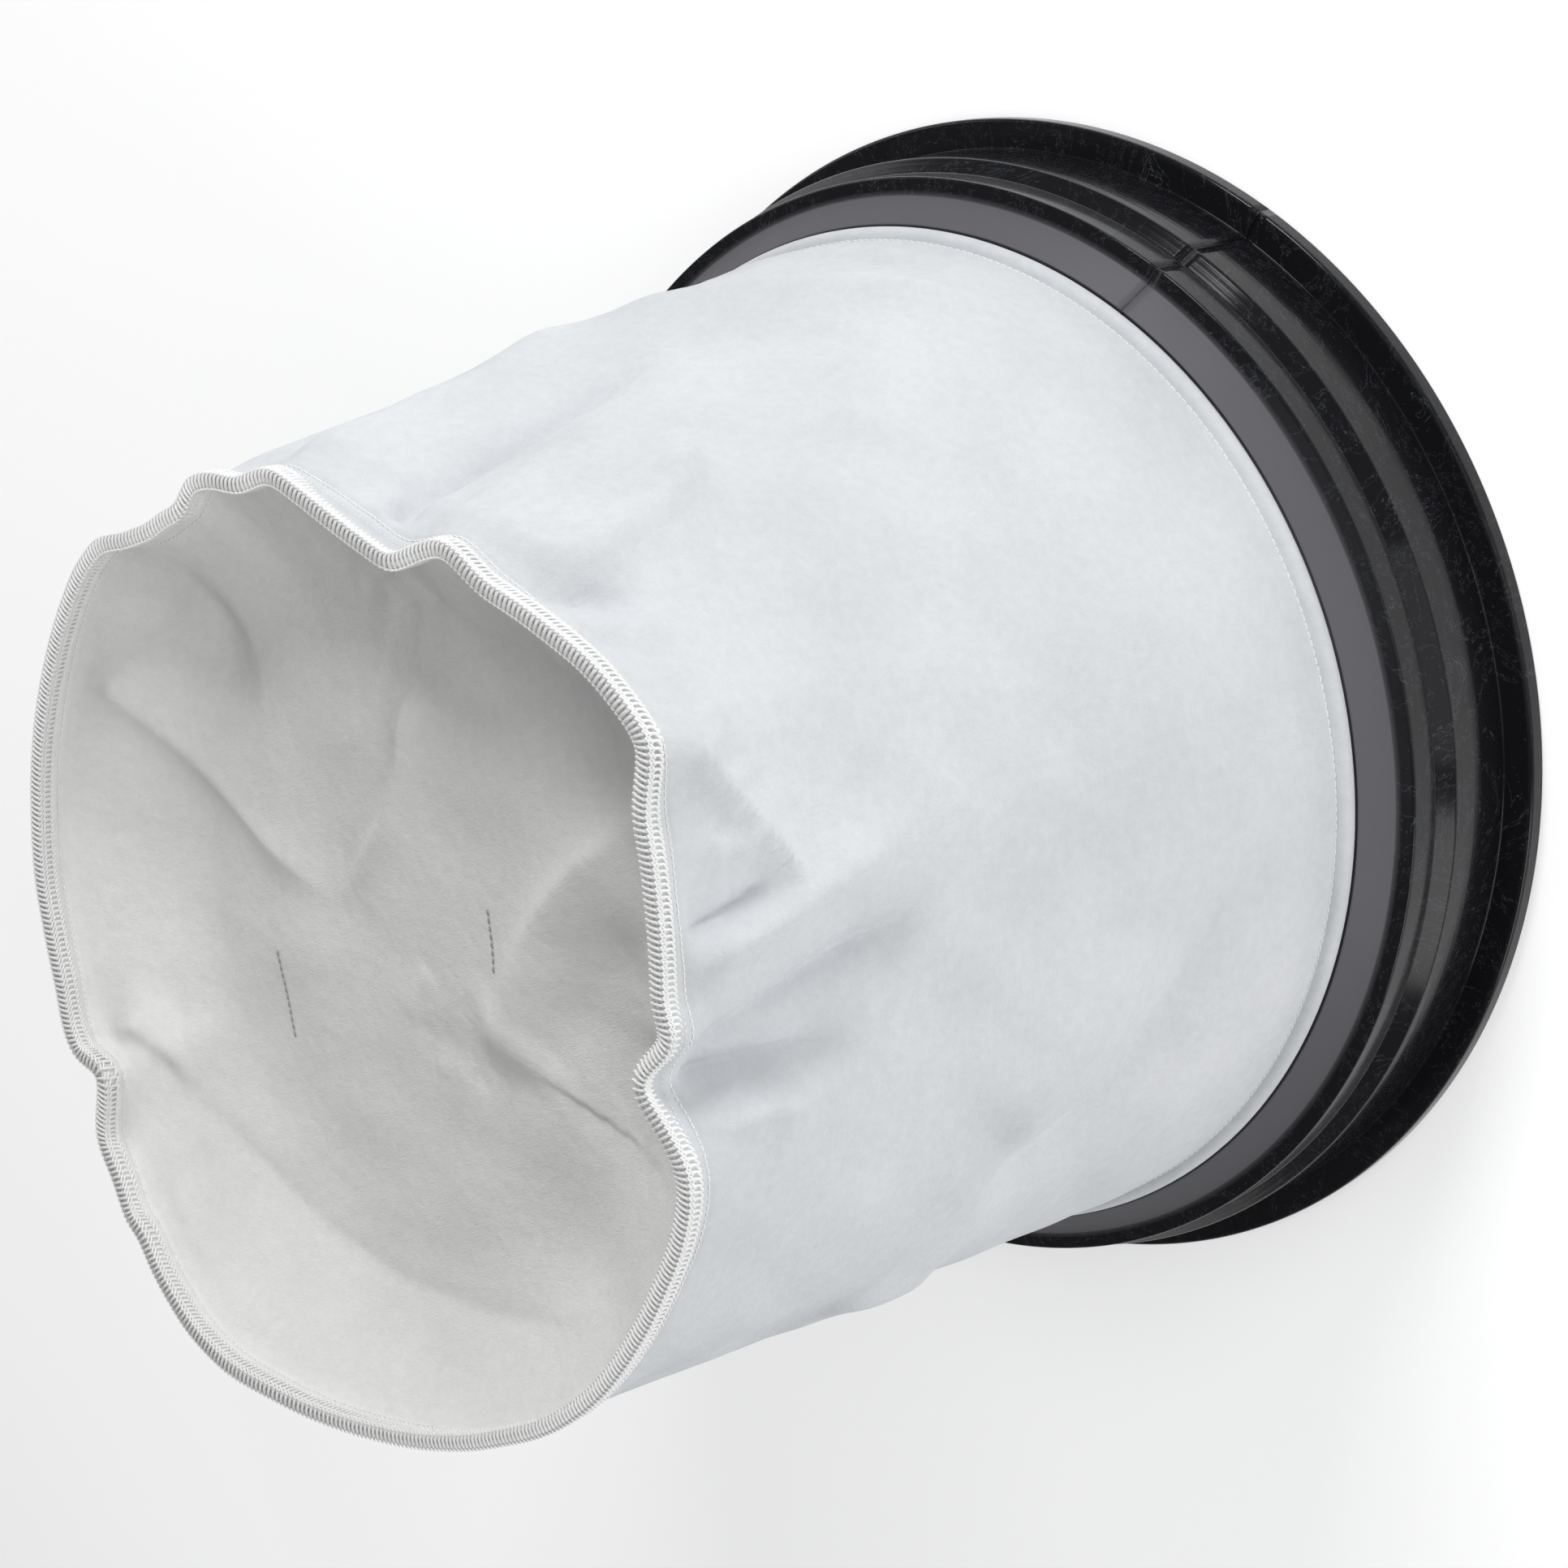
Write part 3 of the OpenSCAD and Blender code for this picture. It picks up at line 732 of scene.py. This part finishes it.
def build_panel(shape):
    """The end panel's closed sheet: a skirt inside the rim, and the creased dish."""
    s = shape.size
    angle = shape.angles()
    shares = np.concatenate([np.linspace(0.012, 0.955, 78), [0.965, 0.975, 0.985, 0.993]])
    # The last rows before the seam dip and then turn up into the skirt
    dips = np.concatenate([np.zeros(79), [-0.2, -0.1, 0.2]])
    dish = panel_points(shape, angle, shares, dips)
    above_seam = s["seam"] + np.array([0.4, 0.9, 1.4, 2.0, 2.8, 3.8, 5.0])
    skirt_z = np.array([*above_seam, s["rim"] - 1, s["rim"] - 0.1])[:, None]
    depth = np.full((len(skirt_z), len(angle)), -s["felt"] * 1.5 - PANEL_GAP)
    skirt = shape.face(angle[None, :], np.broadcast_to(skirt_z, depth.shape), depth)
    top = np.concatenate([dish, skirt])
    round_ = np.roll(top, -1, 1) - np.roll(top, 1, 1)
    along = np.gradient(top, axis=0)
    normal = np.cross(along, round_)
    normal /= np.linalg.norm(normal, axis=-1, keepdims=True)
    under = (top - normal * s["felt"])[::-1]
    under = np.concatenate([under[:8], under[8::2]])
    points = np.concatenate([top, under])
    rows, columns = points.shape[:2]
    faces = grid_faces(rows, columns, False)
    centre = top[0].mean(0)
    poles = np.array([centre, centre - [0, 0, s["felt"]]])
    last = (rows - 1) * columns
    for i in range(columns):
        j = (i + 1) % columns
        faces.append([rows * columns, j, i])
        faces.append([rows * columns + 1, last + i, last + j])
    points = np.concatenate([points.reshape(-1, 3), poles])
    return mesh_piece("end_panel_felt", points * MM, faces, "panel")


# ---------------------------------------------------------------- stitches


def stitch_tree(name):
    """Geometry Nodes tree that lays one stitch at every point, turned by the point's two directions."""
    tree = bpy.data.node_groups.new(name, "GeometryNodeTree")
    kinds = {"Geometry": "Geometry", "Stitch path": "Object", "Thread diameter": "Float", "Thread sides": "Int"}
    for label, kind in {**kinds, "Material": "Material"}.items():
        tree.interface.new_socket(label, in_out="INPUT", socket_type=f"NodeSocket{kind}")
    tree.interface.new_socket("Geometry", in_out="OUTPUT", socket_type="NodeSocketGeometry")
    given = node(tree, "NodeGroupInput")
    path = node(tree, "GeometryNodeObjectInfo", {"Object": (given, "Stitch path")}, transform_space="ORIGINAL")
    line = node(tree, "GeometryNodeMeshToCurve", {"Mesh": (path, "Geometry")})
    half = node(tree, "ShaderNodeMath", {0: (given, "Thread diameter"), 1: 0.5}, operation="MULTIPLY")
    circle = {"Resolution": (given, "Thread sides"), "Radius": (half, 0)}
    section = node(tree, "GeometryNodeCurvePrimitiveCircle", circle)
    swept = {"Curve": (line, "Curve"), "Profile Curve": (section, "Curve"), "Fill Caps": True}
    tube = node(tree, "GeometryNodeCurveToMesh", swept)
    along = node(tree, "GeometryNodeInputNamedAttribute", {"Name": "along"}, data_type="FLOAT_VECTOR")
    lift = node(tree, "GeometryNodeInputNamedAttribute", {"Name": "lift"}, data_type="FLOAT_VECTOR")
    axes = {"Primary Axis": (along, "Attribute"), "Secondary Axis": (lift, "Attribute")}
    turn = node(tree, "FunctionNodeAxesToRotation", axes, primary_axis="X", secondary_axis="Z")
    stitches = {"Points": (given, "Geometry"), "Instance": (tube, "Mesh"), "Rotation": (turn, "Rotation")}
    laid = node(tree, "GeometryNodeInstanceOnPoints", stitches)
    real = node(tree, "GeometryNodeRealizeInstances", {"Geometry": (laid, "Instances")})
    smooth = node(tree, "GeometryNodeSetShadeSmooth", {"Geometry": (real, "Geometry")})
    coloured = {"Geometry": (smooth, "Geometry"), "Material": (given, "Material")}
    finished = node(tree, "GeometryNodeSetMaterial", coloured)
    node(tree, "NodeGroupOutput", {"Geometry": (finished, "Geometry")})
    return tree


def sew(name, rows, key="thread", sides=5):
    """One piece of thread from rows of (points, along, lift, stitch path in mm, thread diameter in mm)."""
    tree = bpy.data.node_groups.get("laid_stitches") or stitch_tree("laid_stitches")
    socket = {item.name: item.identifier for item in tree.interface.items_tree if item.in_out == "INPUT"}
    baked = []
    for k, (points, along, lift, path, thread) in enumerate(rows):
        seeds = bpy.data.meshes.new(f"{name}_points_{k}")
        seeds.from_pydata((points * MM).tolist(), [], [])
        for label, values in (("along", along), ("lift", lift)):
            layer = seeds.attributes.new(label, "FLOAT_VECTOR", "POINT")
            layer.data.foreach_set("vector", np.ascontiguousarray(values, np.float32).ravel())
        holder = bpy.data.objects.new(seeds.name, seeds)
        outline = bpy.data.meshes.new(f"{name}_path_{k}")
        outline.from_pydata([[c * MM for c in p] for p in path], [(i, i + 1) for i in range(len(path) - 1)], [])
        pattern = bpy.data.objects.new(outline.name, outline)
        for made in (holder, pattern):
            bpy.context.scene.collection.objects.link(made)
        modifier = holder.modifiers.new("stitches", "NODES")
        modifier.node_group = tree
        modifier[socket["Stitch path"]] = pattern
        modifier[socket["Thread diameter"]] = thread * MM
        modifier[socket["Thread sides"]] = sides
        modifier[socket["Material"]] = finish(key)
        bpy.context.view_layer.update()
        evaluated = holder.evaluated_get(bpy.context.evaluated_depsgraph_get())
        baked.append(bpy.data.meshes.new_from_object(evaluated))
        holder.modifiers.clear()
        for made in (holder, pattern):
            bpy.data.objects.remove(made)
    work = bmesh.new()
    for mesh in baked:
        work.from_mesh(mesh)
    bmesh.ops.recalc_face_normals(work, faces=work.faces)
    whole = bpy.data.meshes.new(name)
    work.to_mesh(whole)
    work.free()
    whole.shade_smooth()
    whole.materials.append(finish(key))
    if not whole.polygons:
        raise RuntimeError(f"{name}: no stitches were laid")
    piece = bpy.data.objects.new(name, whole)
    bpy.context.scene.collection.objects.link(piece)
    return piece


def even_angles(shape, z, pitch):
    """Angles at which stitches of that pitch in mm stand along the felt at a height."""
    fine = np.linspace(0, math.tau, 2881)
    points = shape.middle(fine, np.full(fine.shape, z))
    run = np.concatenate([[0], np.cumsum(np.linalg.norm(np.diff(points, axis=0), axis=1))])
    count = int(run[-1] / pitch)
    return np.interp(np.arange(count) * run[-1] / count, run, fine)


def round_row(shape, z, depth, pitch, path, thread):
    """Stitches round the bag at a height, on one face of the felt."""
    angle = even_angles(shape, z, pitch)
    points, round_, _, normal = shape.frame(angle, np.full(angle.shape, z))
    side = 1.0 if depth > 0 else -1.0
    return points + normal * depth, round_, normal * side, path, thread


def dash(size, thread):
    """One stitch that rises from the felt, lies on it and dips again."""
    rises = ((-1, -0.9), (-0.74, 0.1), (0, 0.42), (0.74, 0.1), (1, -0.9))
    return [(share * size / 2, 0, rise * thread) for share, rise in rises]


# ---------------------------------------------------------------- operators


class FILTERBAG_OT_seal_ring(bpy.types.Operator):
    """Turns the stepped rubber ring and the bond in its splice"""

    bl_idname = "filterbag.seal_ring"
    bl_label = "Seal Ring"

    def execute(self, context):
        size = context.scene.filter_bag_ring
        r = {key: getattr(size, key) / MM for key in SealRingSizes.__annotations__ if key != "splice_angle"}
        wall, shelf = r["wall"], r["shelf"]
        corners = (
            (r["spigot_radius"] - wall, 0, 0.5),
            (r["flange_radius"], 0, 1.0),
            (r["flange_radius"], r["flange_thickness"], 1.5),
            (r["spigot_radius"], r["flange_thickness"], 0.6),
            (r["spigot_radius"], r["spigot_top"] - 0.7, 1.4),
            (r["nose_radius"], r["nose_foot"] - 0.4, 0.8),
            (r["nose_radius"], r["nose_top"], 1.0),
            (r["face_radius"], r["nose_top"] + 1, 0.7),
            (r["hem_radius"], r["hem_seat"], 0.4),
            (r["hem_radius"], shelf, 0.3),
            (LIP_OUT, shelf, 0.3),
            (LIP_OUT, shelf + LIP_HEIGHT, 0.6),
            (LIP_IN, shelf + LIP_HEIGHT, 0.6),
            (LIP_IN, shelf - wall, 0.6),
            (r["hem_radius"], shelf - wall, 2.0),
            (r["face_radius"] - 1, r["nose_top"] + 1 - wall, 1.5),
            (r["nose_radius"] - wall, r["nose_top"] - wall, 0.6),
            (r["nose_radius"] - wall, r["spigot_top"], 0.6),
            (r["spigot_radius"] - wall, r["spigot_top"] - wall, 0.8),
        )
        outline = rounded(corners)
        splice = size.splice_angle
        half_gap = size.splice_gap / 2 / size.spigot_radius
        end = splice - half_gap + math.tau
        ring = self.turned("seal_ring_rubber", outline, splice + half_gap, end, RING_STEPS, "rubber")
        declare(ring, "seal_ring")
        middle = outline.mean(0)
        inward = (middle - outline) / np.linalg.norm(middle - outline, axis=1, keepdims=True)
        pulled_in = outline + inward * 0.12
        bond = self.turned("splice_adhesive_line", pulled_in, splice - half_gap, splice + half_gap, 2, "adhesive")
        declare(bond, "splice_bond")
        return {"FINISHED"}

    @staticmethod
    def turned(name, outline, start, end, steps, key):
        """A solid with that section, turned from one angle to another and closed at both ends."""
        angle = np.linspace(start, end, steps + 1)
        angle, r, z = angle[:, None], outline[:, 0], outline[:, 1]
        points = np.stack([r * np.cos(angle), r * np.sin(angle), z + 0 * angle], -1)
        return capped_piece(name, points, key)


class FILTERBAG_OT_filter_sleeve(bpy.types.Operator):
    """Hangs the felt sleeve from the ring, with its folds, its hem and its lapped seam"""

    bl_idname = "filterbag.filter_sleeve"
    bl_label = "Filter Sleeve"

    def execute(self, context):
        sleeve = build_sleeve(BagShape())
        declare(sleeve, "filter_sleeve")
        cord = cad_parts["hem_cord"]
        cord.data.materials.clear()
        cord.data.materials.append(finish("cord"))
        return {"FINISHED"}


class FILTERBAG_OT_end_panel(bpy.types.Operator):
    """Hangs the creased end panel inside the sleeve's rim"""

    bl_idname = "filterbag.end_panel"
    bl_label = "End Panel"

    def execute(self, context):
        panel = build_panel(BagShape())
        declare(panel, "bottom_panel")
        return {"FINISHED"}


class FILTERBAG_OT_rim_threads(bpy.types.Operator):
    """Sews the rim: the overlocked border, its needle row and the lockstitch that closes the bag"""

    bl_idname = "filterbag.rim_threads"
    bl_label = "Rim Threads"

    def execute(self, context):
        shape, sewing = BagShape(), context.scene.filter_bag_sewing
        s = shape.size
        thread, border = sewing.thread / MM, sewing.border / MM
        pitch, stitch = sewing.wrap_pitch / MM, sewing.stitch / MM
        angle = even_angles(shape, s["rim"], pitch)
        points, round_, upward, normal = shape.frame(angle, np.full(angle.shape, s["rim"]))
        # The overlock wraps both felts, so it is centred on the gap between them
        core = points - normal * (s["felt"] / 2 + PANEL_GAP / 2)
        side = s["felt"] + PANEL_GAP + thread * 0.4
        wrap = (
            (-0.45 * pitch, -side + 0.1, -border),
            (-0.30 * pitch, -side - 0.12, -border * 0.7),
            (-0.10 * pitch, -side - 0.1, -border * 0.3),
            (0.10 * pitch, -side + 0.05, -0.1),
            (0.20 * pitch, -side * 0.5, 0.42),
            (0.30 * pitch, side * 0.5, 0.42),
            (0.40 * pitch, side - 0.05, -0.1),
            (0.60 * pitch, side + 0.1, -border * 0.3),
            (0.80 * pitch, side + 0.12, -border * 0.7),
            (0.95 * pitch, side - 0.1, -border),
        )
        rows = [(core, round_, upward, wrap, thread * 2.2)]
        for sign in (-1, 1):
            for foot, stand in ((-0.2, 0.30), (-1.5, 0.34), (-border + 0.2, 0.30)):
                y = sign * (side + stand)
                loop = (
                    (-0.55 * pitch, y - sign * 0.15, foot - 0.45),
                    (-0.15 * pitch, y + sign * 0.12, foot - 0.3),
                    (0.25 * pitch, y + sign * 0.12, foot + 0.3),
                    (0.55 * pitch, y - sign * 0.15, foot + 0.45),
                )
                rows.append((core, round_, upward, loop, thread * 1.8))
        overlock = sew("overlock_border", rows)
        declare(overlock, "rim_overlock")
        outside, inside = s["felt"] / 2 + thread * 0.1, -s["felt"] * 1.5 - PANEL_GAP - thread * 0.1
        needle_z = s["rim"] - border - 0.75
        needle = dash(pitch * 0.8, thread * 0.8)
        rows = [round_row(shape, needle_z, d, pitch, needle, thread * 0.8) for d in (outside, inside)]
        declare(sew("overlock_needle_row", rows, sides=4), "rim_needle_stitch")
        lock = dash(stitch * 0.86, thread)
        row_z = s["seam"] + CLOSING_ROW
        rows = [round_row(shape, row_z, d, stitch, lock, thread) for d in (outside - 0.4, inside + 0.4)]
        declare(sew("closing_lockstitch", rows), "rim_lockstitch")
        return {"FINISHED"}


class FILTERBAG_OT_body_threads(bpy.types.Operator):
    """Sews the collar to the ring's lip and the two rows of the lapped side seam"""

    bl_idname = "filterbag.body_threads"
    bl_label = "Collar and Side Seam Threads"

    def execute(self, context):
        shape, sewing = BagShape(), context.scene.filter_bag_sewing
        s = shape.size
        thread, stitch = sewing.thread / MM, sewing.stitch / MM * 1.3
        mark = dash(stitch * 0.82, thread)
        angle = np.arange(int(math.tau * s["mouth_radius"] / stitch)) * stitch / s["mouth_radius"]
        out = np.stack([np.cos(angle), np.sin(angle), 0 * angle], -1)
        round_ = np.stack([-np.sin(angle), np.cos(angle), 0 * angle], -1)
        rows = []
        for radius, side in ((s["mouth_radius"] + 0.05, 1), (LIP_IN - 0.05, -1)):
            points = out * radius + [0, 0, COLLAR_ROW]
            rows.append((points, round_, out * side, mark, thread))
        declare(sew("collar_lockstitch", rows), "collar_stitch")
        for name, cad_node, degrees in LAP_ROWS:
            z = np.arange(LAP_ROW_FOOT, LAP_ROW_TOP, stitch)
            at = np.full(z.shape, math.radians(degrees))
            points, _, upward, normal = shape.frame(at, z)
            rows = [
                (points + normal * (s["felt"] / 2 + 0.05), upward, normal, mark, thread),
                (points - normal * (s["felt"] * 1.5 + 0.05), upward, -normal, mark, thread),
            ]
            declare(sew(name, rows), cad_node)
        return {"FINISHED"}


class FILTERBAG_OT_pull_strap(bpy.types.Operator):
    """Adds the webbing loop behind the end panel and the tacks at its two ends"""

    bl_idname = "filterbag.pull_strap"
    bl_label = "Pull Strap"

    def execute(self, context):
        shape, sewing = BagShape(), context.scene.filter_bag_sewing
        s, thread = shape.size, sewing.thread / MM
        centre, middle, half_span, wide, thick, drop = -14.0, 31.0, 57.0, 32.0, 1.6, 16.0
        tack_pitch = 2.5
        free = half_span - 6
        y = np.linspace(-half_span - 6, half_span + 6, 90)
        bow = drop * np.where(np.abs(y) < free, np.cos(np.clip(y / free, -1, 1) * math.pi / 2) ** 2, 0)
        x = np.full(y.shape, centre)
        spread = np.array([-0.5, -0.44, -0.2, 0.2, 0.44, 0.5]) * wide
        crown = np.array([0.55, 0.0, 0.0, 0.0, 0.0, 0.55])
        columns = []
        for d, c in zip(spread, crown):
            columns.append(np.stack([x + d, y + middle, self.under(shape, x + d, y + middle) - bow - c], -1))
        top = np.stack(columns, 1)
        low = top.copy()
        low[..., 2] -= thick - 2 * crown[None, :] * 0.9
        points = np.concatenate([top, low[:, ::-1]], 1)
        strap = capped_piece("strap_webbing", points, "webbing")
        declare(strap, "pull_strap")
        lines = (
            ("strap_tack_long", "strap_tack_left", (4.0, 83.0), (-26.0, 92.0)),
            ("strap_tack_short", "strap_tack_right", (-6.0, -27.0), (-26.0, -23.0)),
        )
        for name, cad_node, start, end in lines:
            a, b = np.array(start), np.array(end)
            count = int(np.linalg.norm(b - a) / tack_pitch)
            flat = a + (b - a) * (np.arange(count) + 0.5)[:, None] / count
            z = s["dish"] + shape.relief(flat[:, 0], flat[:, 1])
            way = np.append((b - a) / np.linalg.norm(b - a), 0)
            along = np.broadcast_to(way, (count, 3))
            lift = np.broadcast_to([0.0, 0.0, 1.0], (count, 3))
            bead = dash(1.9, thread * 1.5)
            top_row = np.column_stack([flat, z + 0.08])
            low_row = np.column_stack([flat, z - s["felt"] - thick - 0.1])
            rows = [(top_row, along, lift, bead, thread * 1.5), (low_row, along, -lift, bead, thread * 1.5)]
            # The tacks are sewn with the grey thread, which is painted shade of their needle holes
            declare(sew(name, rows, "tack"), cad_node)
        return {"FINISHED"}

    @staticmethod
    def under(shape, x, y):
        """Height of the panel's lower face."""
        return shape.size["dish"] - shape.size["felt"] + shape.relief(x, y) - 0.1


class FILTERBAG_OT_stage(bpy.types.Operator):
    """Sets up the pale floor, the soft lights and the camera"""

    bl_idname = "filterbag.stage"
    bl_label = "Stage"

    def execute(self, context):
        scene, size = context.scene, context.scene.filter_bag_stage
        reach, sides = 3, 96
        turns = np.linspace(0, math.tau, sides + 1)[:-1]
        mesh = bpy.data.meshes.new("studio_floor")
        edge = [(reach * math.cos(a), reach * math.sin(a), 0) for a in turns]
        mesh.from_pydata(edge, [], [list(range(sides))])
        mesh.materials.append(finish("floor"))
        floor = bpy.data.objects.new("studio_floor", mesh)
        scene.collection.objects.link(floor)
        # Name, azimuth and elevation in degrees, distance, width and height in metres, power in watts
        lamps = (
            ("key_softbox", 62, 27, 1.9, 0.6, 0.6, 17),
            ("front_strip", 10, 40, 1.9, 1.7, 0.03, 5),
            ("front_softbox", -15, 22, 2.0, 1.2, 1.0, 4),
            ("side_softbox", -55, 16, 2.1, 1.0, 1.0, 12),
            ("rear_softbox", 122, 20, 2.0, 0.9, 0.9, 4),
            ("top_softbox", -10, 72, 2.2, 1.2, 1.2, 2),
            ("back_softbox", 176, 48, 2.1, 0.7, 0.7, 2),
        )
        for name, azimuth, height, away, wide, tall, power in lamps:
            light = bpy.data.lights.new(name, "AREA")
            light.shape, light.size, light.size_y, light.energy = "RECTANGLE", wide, tall, power
            a, e = math.radians(azimuth), math.radians(height)
            toward = Vector((math.sin(a) * math.cos(e), -math.cos(a) * math.cos(e), math.sin(e)))
            lamp = bpy.data.objects.new(name, light)
            lamp.location = toward * away + Vector((0, 0, 0.15))
            lamp.rotation_euler = toward.to_track_quat("Z", "Y").to_euler()
            scene.collection.objects.link(lamp)
        world = bpy.data.worlds.new("studio_world")
        world.use_nodes = True
        back = world.node_tree.nodes["Background"]
        back.inputs["Color"].default_value = (*linear("#fafbfc"), 1)
        back.inputs["Strength"].default_value = 0.18
        scene.world = world
        scene.view_settings.view_transform = "Standard"
        e, roll = size.elevation, size.roll
        forward = Vector((0, math.cos(e), -math.sin(e)))
        up = Vector((0, math.sin(e), math.cos(e))) * math.cos(roll) + Vector((1, 0, 0)) * math.sin(roll)
        right = forward.cross(up)
        data = bpy.data.cameras.new("studio_camera")
        data.lens, data.sensor_width, data.clip_start = size.lens, 36.0, 0.01
        camera = bpy.data.objects.new("studio_camera", data)
        turn = Matrix((right, up, -forward)).transposed()
        place = Vector((0, 0, size.target)) - forward * size.distance
        camera.matrix_world = Matrix.Translation(place) @ turn.to_4x4()
        scene.collection.objects.link(camera)
        scene.camera = camera
        return {"FINISHED"}


STEPS = (
    FILTERBAG_OT_seal_ring,
    FILTERBAG_OT_filter_sleeve,
    FILTERBAG_OT_end_panel,
    FILTERBAG_OT_rim_threads,
    FILTERBAG_OT_body_threads,
    FILTERBAG_OT_pull_strap,
    FILTERBAG_OT_stage,
)


class FILTERBAG_PT_panel(bpy.types.Panel):
    """Lists the bag's sizes and the steps that build it"""

    bl_idname = "FILTERBAG_PT_panel"
    bl_label = "Filter Bag"
    bl_space_type = "VIEW_3D"
    bl_region_type = "UI"
    bl_category = "Filter Bag"

    def draw(self, context):
        for step in STEPS:
            self.layout.operator(step.bl_idname)
        for group in GROUPS:
            box = self.layout.box()
            sizes = getattr(context.scene, group)
            for key in GROUPS[group].__annotations__:
                box.prop(sizes, key)


GROUPS = {
    "filter_bag_ring": SealRingSizes,
    "filter_bag_sizes": BagSizes,
    "filter_bag_sewing": SewingSizes,
    "filter_bag_colours": Colours,
    "filter_bag_stage": StageSizes,
}


def register():
    for made in (*GROUPS.values(), *STEPS, FILTERBAG_PT_panel):
        bpy.utils.register_class(made)
    for name, group in GROUPS.items():
        setattr(bpy.types.Scene, name, PointerProperty(type=group))


def unregister():
    for name in GROUPS:
        delattr(bpy.types.Scene, name)
    for made in reversed((*GROUPS.values(), *STEPS, FILTERBAG_PT_panel)):
        bpy.utils.unregister_class(made)


def main():
    register()
    bpy.ops.filterbag.seal_ring()
    bpy.ops.filterbag.filter_sleeve()
    bpy.ops.filterbag.end_panel()
    bpy.ops.filterbag.rim_threads()
    bpy.ops.filterbag.body_threads()
    bpy.ops.filterbag.pull_strap()
    bpy.ops.filterbag.stage()


if __name__ == "__main__":
    main()
